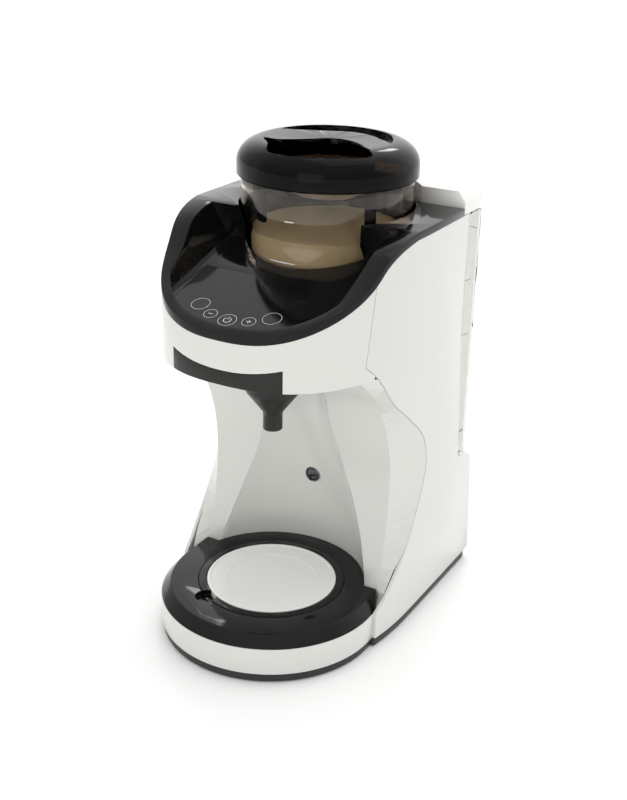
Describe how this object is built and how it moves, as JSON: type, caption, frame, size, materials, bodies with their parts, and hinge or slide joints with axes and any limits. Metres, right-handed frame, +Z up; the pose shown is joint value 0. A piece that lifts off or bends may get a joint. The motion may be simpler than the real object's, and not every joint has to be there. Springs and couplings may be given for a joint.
{
  "type": "baby formula maker",
  "caption": "Countertop baby formula maker: powder hopper with dosing wheel, slide-out mixing funnel, lift-off water tank and round bottle platform.",
  "frame": {"origin": "centre of the bounding box at the underside of the rubber feet", "axes": "+X to the right of someone facing the bottle bay, +Y towards the back, +Z up"},
  "size_m": [0.21, 0.2946, 0.417],
  "materials": {
    "white_abs": "smooth gloss moulded ABS",
    "black_abs": "high-gloss black ABS",
    "black_trim": "satin black plastic",
    "rubber": "soft rubber",
    "silicone": "translucent silicone",
    "smoked_clear": "smoked transparent copolyester",
    "smoked_lid": "dark smoked transparent plastic",
    "clear": "clear copolyester",
    "pom": "natural acetal",
    "steel": "zinc-plated steel",
    "heater_alu": "cast aluminium",
    "bronze": "sintered bronze",
    "pump_black": "glass-filled nylon",
    "circuit": "solder-masked board",
    "lens": "dark infra-red window"
  },
  "bodies": {
    "root": {"base_plate": "black_trim", "base_band": "white_abs", "base_cover": "black_abs", "tray_ring": "black_abs", "rubber_feet": "rubber", "base_screws": "steel", "side_panel_left": "white_abs", "side_panel_right": "white_abs", "bay_column": "white_abs", "sensor_lens": "lens", "sensor_board": "circuit", "head_shell": "white_abs", "drawer_guide": "pom", "deck_cover": "black_abs", "control_panel": "black_abs", "display_board": "circuit", "socket_plate": "black_trim", "chassis": "steel", "rear_cover": "white_abs", "tank_bay": "white_abs", "power_inlet": "black_trim", "main_board": "circuit", "water_pump": "pump_black", "pump_clamp": "steel", "heater": "heater_alu", "heater_clamp": "steel", "suction_tube": "silicone", "pressure_tube": "silicone", "outlet_tube": "silicone", "water_nozzle": "pom", "powder_chute": "black_trim", "gear_motor": "steel", "gear_bush": "bronze", "valve_seat": "pom"},
    "platform": {"platform": "white_abs"},
    "pinion": {"motor_pinion": "pom"},
    "drive_gear": {"drive_gear": "pom"},
    "hopper": {"hopper": "smoked_clear", "dosing_base": "black_trim"},
    "dosing_wheel": {"dosing_wheel": "pom", "stirrer": "pom"},
    "hopper_seal": {"hopper_seal": "silicone"},
    "hopper_lid": {"hopper_lid": "smoked_lid"},
    "funnel_drawer": {"funnel": "black_trim", "funnel_drawer": "black_trim"},
    "water_tank": {"water_tank": "clear", "lid_hinge_pins": "steel"},
    "tank_lid": {"tank_lid": "white_abs"},
    "tank_valve": {"tank_valve": "pom"}
  },
  "joints": [
    {"name": "platform_lift", "type": "slide", "parent": "root", "child": "platform", "axis": [0, 0, 1], "range_m": [0, 0.03]},
    {"name": "gear_turn", "type": "hinge", "parent": "root", "child": "drive_gear", "pos_m": [0, 0.0347, 0.287], "axis": [0, 0, 1], "continuous": true},
    {"name": "pinion_turn", "type": "hinge", "parent": "root", "child": "pinion", "pos_m": [-0.03753, 0.0347, 0.287], "axis": [0, 0, 1], "continuous": true},
    {"name": "hopper_lift", "type": "slide", "parent": "root", "child": "hopper", "axis": [0, 0, 1], "range_m": [0, 0.09]},
    {"name": "dosing_turn", "type": "hinge", "parent": "hopper", "child": "dosing_wheel", "pos_m": [0, 0.0347, 0.307], "axis": [0, 0, 1], "continuous": true},
    {"name": "hopper_lid_lift", "type": "slide", "parent": "hopper", "child": "hopper_seal", "axis": [0, 0, 1], "range_m": [0, 0.06]},
    {"name": "hopper_lid_twist", "type": "hinge", "parent": "hopper_seal", "child": "hopper_lid", "pos_m": [0, 0.0347, 0.4], "axis": [0, 0, 1], "range_deg": [0, 35]},
    {"name": "funnel_slide", "type": "slide", "parent": "root", "child": "funnel_drawer", "axis": [0, -1, 0], "range_m": [0, 0.11]},
    {"name": "tank_lift", "type": "slide", "parent": "root", "child": "water_tank", "axis": [0, 0, 1], "range_m": [0, 0.15]},
    {"name": "tank_lid_hinge", "type": "hinge", "parent": "water_tank", "child": "tank_lid", "pos_m": [0, 0.123, 0.36], "axis": [-1, 0, 0], "range_deg": [0, 75]},
    {"name": "valve_travel", "type": "slide", "parent": "water_tank", "child": "tank_valve", "axis": [0, 0, 1], "range_m": [0, 0.002], "stiffness_N_per_m": 60}
  ],
  "couplings": [
    {"joint": "pinion_turn", "follows": "gear_turn", "ratio": -3},
    {"joint": "dosing_turn", "follows": "gear_turn", "ratio": 1}
  ]
}
